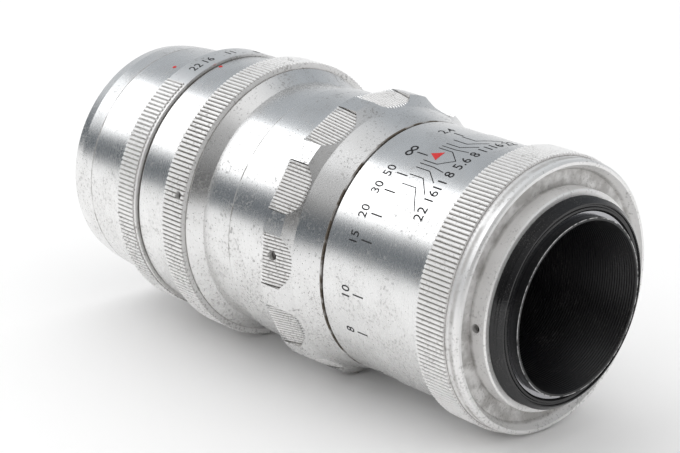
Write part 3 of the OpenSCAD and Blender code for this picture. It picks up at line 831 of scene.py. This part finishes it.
MOUNT_PITCH, FILTER_PITCH = 1.0 * MM, 0.75 * MM
collar_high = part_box("thread_collar")[1]
mount_r, mount_end = collar_high.z, collar_high.y
bore_r, chamfer = lip_radius * MM + 0.9 * MM, 0.8 * MM
face_r = bore_r + 0.7 * MM
thread_back, thread_front = chamfer - mount_end, -0.02 * MM
mount_thread = lathe(
    "mount_thread",
    [(bore_r, 0.55 * MM), (bore_r, 0.3 * MM - mount_end), (bore_r + 0.3 * MM, -mount_end),
     (face_r, -mount_end), (face_r + 0.15 * MM, 0.25 * MM - mount_end),
     (face_r + 0.45 * MM, 0.25 * MM - mount_end), (face_r + 0.60 * MM, -mount_end),
     (mount_r - chamfer, -mount_end)]
    + threaded_wall(mount_r, thread_back, thread_front, 56)
    + [(mount_r - 0.4 * MM, 0.0), (mount_r - 0.4 * MM, 0.55 * MM)],
)
cut_thread(mount_thread, mount_r, 0.5 * MM, MOUNT_PITCH, thread_back, thread_front)
finish_ring(mount_thread, "mount", black_collar)
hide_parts("thread_collar")

rim_front = -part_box("filter_rim")[0].y
filter_r = 24.5 * MM
crest_r = filter_r - 0.08 * MM
crest_back, crest_front = rim_front - 4.4 * MM, rim_front - 0.5 * MM
filter_thread = lathe(
    "filter_thread",
    [(filter_r - 0.02 * MM, crest_back)]
    + threaded_wall(crest_r, crest_back, crest_front, 84)
    + [(filter_r - 0.02 * MM, crest_front)],
)
cut_thread(filter_thread, crest_r, 0.42 * MM, FILTER_PITCH, crest_back, crest_front)
finish_ring(filter_thread, "head", smooth_aluminium)
print("mount thread", round(mount_r / MM, 2), "mm, filter thread", round(filter_r / MM, 2), "mm radius")

# %% [markdown]
# ## Engraved scales
# Marks are cut into a ring by a pantograph, so they follow its curve. Each mark is made flat, as a text
# or a thin plane, and then wrapped: across the ring becomes an angle and along the axis a station. The
# digits read with their tops towards the front. The paint stands a hundredth of a millimetre proud, as
# filled engraving does.

# %% Wrapping
FILL_PROUD = 0.00002


def wrapped(obj, radius, angle, station):
    """Wraps a flat mesh round the axis, with its own middle at that angle and station."""
    for vertex in obj.data.vertices:
        a = angle - vertex.co.x / radius
        r = radius + FILL_PROUD
        vertex.co = (r * math.sin(a), -(station + vertex.co.y), r * math.cos(a))
    return obj


def numeral(text, size, radius, angle, station, squeeze=0.92):
    """One number as a wrapped mesh."""
    bpy.ops.object.select_all(action="DESELECT")
    bpy.ops.object.text_add()
    words = bpy.context.active_object
    words.data.body = text
    words.data.align_x, words.data.align_y = "CENTER", "CENTER"
    words.data.size = size
    words.data.offset = size * 0.006
    words.data.space_character = 1.08
    words.data.resolution_u = 3
    bpy.ops.object.convert(target="MESH")
    shape = bpy.context.active_object
    low = min(v.co.y for v in shape.data.vertices)
    high = max(v.co.y for v in shape.data.vertices)
    for vertex in shape.data.vertices:
        vertex.co.x *= squeeze
        vertex.co.y -= (low + high) / 2
    return wrapped(shape, radius, angle, station)


def stroke(start, end, width, radius):
    """A straight engraved line between two (angle, station) points, as a wrapped thin plane."""
    a = Vector((-(start[0] - INDEX) * radius, start[1]))
    b = Vector((-(end[0] - INDEX) * radius, end[1]))
    across = (b - a).orthogonal().normalized() * width / 2
    bpy.ops.object.select_all(action="DESELECT")
    bpy.ops.mesh.primitive_plane_add(size=1.0)
    line = bpy.context.active_object
    for vertex in line.data.vertices:
        end_point = b if vertex.co.x > 0 else a
        side = across if vertex.co.y > 0 else -across
        vertex.co = (*(end_point + side), 0.0)
    bpy.ops.object.mode_set(mode="EDIT")
    bpy.ops.mesh.select_all(action="SELECT")
    bpy.ops.mesh.subdivide(number_cuts=4)
    bpy.ops.object.mode_set(mode="OBJECT")
    return wrapped(line, radius, INDEX, 0.0)


def gather(parts, name, body, material):
    """Joins parts into one named piece on a body, with outward faces."""
    bpy.ops.object.select_all(action="DESELECT")
    for part in parts:
        part.select_set(True)
    bpy.context.view_layer.objects.active = parts[0]
    bpy.ops.object.join()
    piece = bpy.context.active_object
    piece.name = name
    piece.data.materials.clear()
    piece.data.materials.append(material)
    mesh = bmesh.new()
    mesh.from_mesh(piece.data)
    for face in mesh.faces:
        centre = face.calc_center_median()
        if face.normal.dot(Vector((centre.x, 0, centre.z))) < 0:
            face.normal_flip()
    mesh.to_mesh(piece.data)
    mesh.free()
    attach(piece, body)
    return piece


# %% [markdown]
# The distance scale isn't evenly spaced. A lens of focal length f that has moved forward by m from
# infinity is focused at the distance m + 2f + f squared / m, and the thread turns 21 degrees for each
# millimetre. Two numbers place all marks.

# %% Distance scale
seam = -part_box("dof_collar")[0].y
band_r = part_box("distance_band")[1].z
collar_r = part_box("dof_collar")[1].z
focal, degrees_per_mm = 180.0, 21.05
ZERO_OFFSET = math.radians(1.4)


def distance_angle(metres):
    """Angle of a distance mark from the mark of infinity."""
    space = metres * 1000 - 2 * focal
    moved = (space - math.sqrt(space**2 - 4 * focal**2)) / 2
    return math.radians(moved * degrees_per_mm)


scale_parts = []
for metres in (50, 30, 20, 15, 10, 8, 6, 5, 4, 3.5, 3, 2.7, 2.4):
    at = INDEX + ZERO_OFFSET + distance_angle(metres)
    scale_parts.append(stroke((at, seam + 0.2 * MM), (at, seam + 3.0 * MM), 0.28 * MM, band_r))
    scale_parts.append(numeral(f"{metres:g}", 2.95 * MM, band_r, at, seam + 5.0 * MM))
far = INDEX + ZERO_OFFSET
scale_parts.append(stroke((far, seam + 0.2 * MM), (far, seam + 3.0 * MM), 0.28 * MM, band_r))
scale_parts.append(numeral("∞", 4.2 * MM, band_r, far, seam + 4.5 * MM))
distance_marks = gather(scale_parts, "distance_marks", "focusing", fill_black)
print("distance marks", len(distance_marks.data.polygons), "faces")

# %% [markdown]
# The depth-of-field scale has a line for each stop on both sides of the index. It leaves the seam straight,
# and then bends outwards to give its number room. The two innermost lines bend inwards and share a number.

# %% Depth-of-field scale
DEGREES_PER_STOP = 0.88
depth_lines = [(5.6, 0.0), (8, 8.1), (11, 14.6), (16, 21.0), (22, 29.5)]
depth_parts = []
for stop, end in depth_lines:
    for sign in (1, -1):
        at_seam = INDEX + sign * math.radians(stop * DEGREES_PER_STOP)
        at_number = INDEX + sign * math.radians(end)
        bend = (at_seam, seam - 3.7 * MM)
        depth_parts.append(stroke((at_seam, seam - 0.1 * MM), bend, 0.20 * MM, collar_r))
        depth_parts.append(stroke(bend, (at_number, seam - 6.6 * MM), 0.20 * MM, collar_r))
        if stop != 5.6 or sign == 1:
            depth_parts.append(numeral(f"{stop:g}", 3.2 * MM, collar_r, at_number, seam - 8.2 * MM))
depth_marks = gather(depth_parts, "depth_marks", "mount", fill_black)
print("depth marks", len(depth_marks.data.polygons), "faces")

# %% [markdown]
# The aperture numbers stand in the plain part of the aperture ring, and each comes to the red dot in turn.

# %% Aperture scale
aperture_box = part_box("aperture_ring")
plain_r = max(
    math.hypot(v.co.x, v.co.z)
    for v in nodes["aperture_ring"].data.vertices
    if abs(math.atan2(v.co.x, v.co.z)) < math.radians(20)
)
numeral_station = -(aperture_box[0].y + aperture_box[1].y) / 2
aperture_parts = [
    numeral(text, 3.0 * MM, plain_r, INDEX + math.radians(offset), numeral_station)
    for text, offset in (("22", -1.0), ("16", -8.0), ("11", -21.0), ("8", -36.5), ("5.5", -62.0))
]
aperture_marks = gather(aperture_parts, "aperture_marks", "aperture", fill_black)
print("aperture marks", len(aperture_marks.data.polygons), "faces")

# %% [markdown]
# ## Finishing the table
# Pale paper, a little rough and barely uneven, so that it takes a soft shadow and nothing else.

# %% Table material
paper_material = bpy.data.materials.new("pale_paper")
paper_material.use_nodes = True
tree = paper_material.node_tree
tree.nodes.clear()
grain = add(
    tree,
    "ShaderNodeTexNoise",
    None,
    {"Vector": add(tree, "ShaderNodeTexCoord").outputs["Object"], "Scale": 3.0, "Detail": 3.0},
).outputs[0]
shader = add(
    tree,
    "ShaderNodeBsdfPrincipled",
    None,
    {
        "Base Color": blend_colours(tree, grain, grey(0.89, 0.002), grey(0.91, 0.002)),
        "Roughness": 0.6,
    },
)
add(tree, "ShaderNodeOutputMaterial", None, {"Surface": shader.outputs[0]})
table.data.materials.append(paper_material)
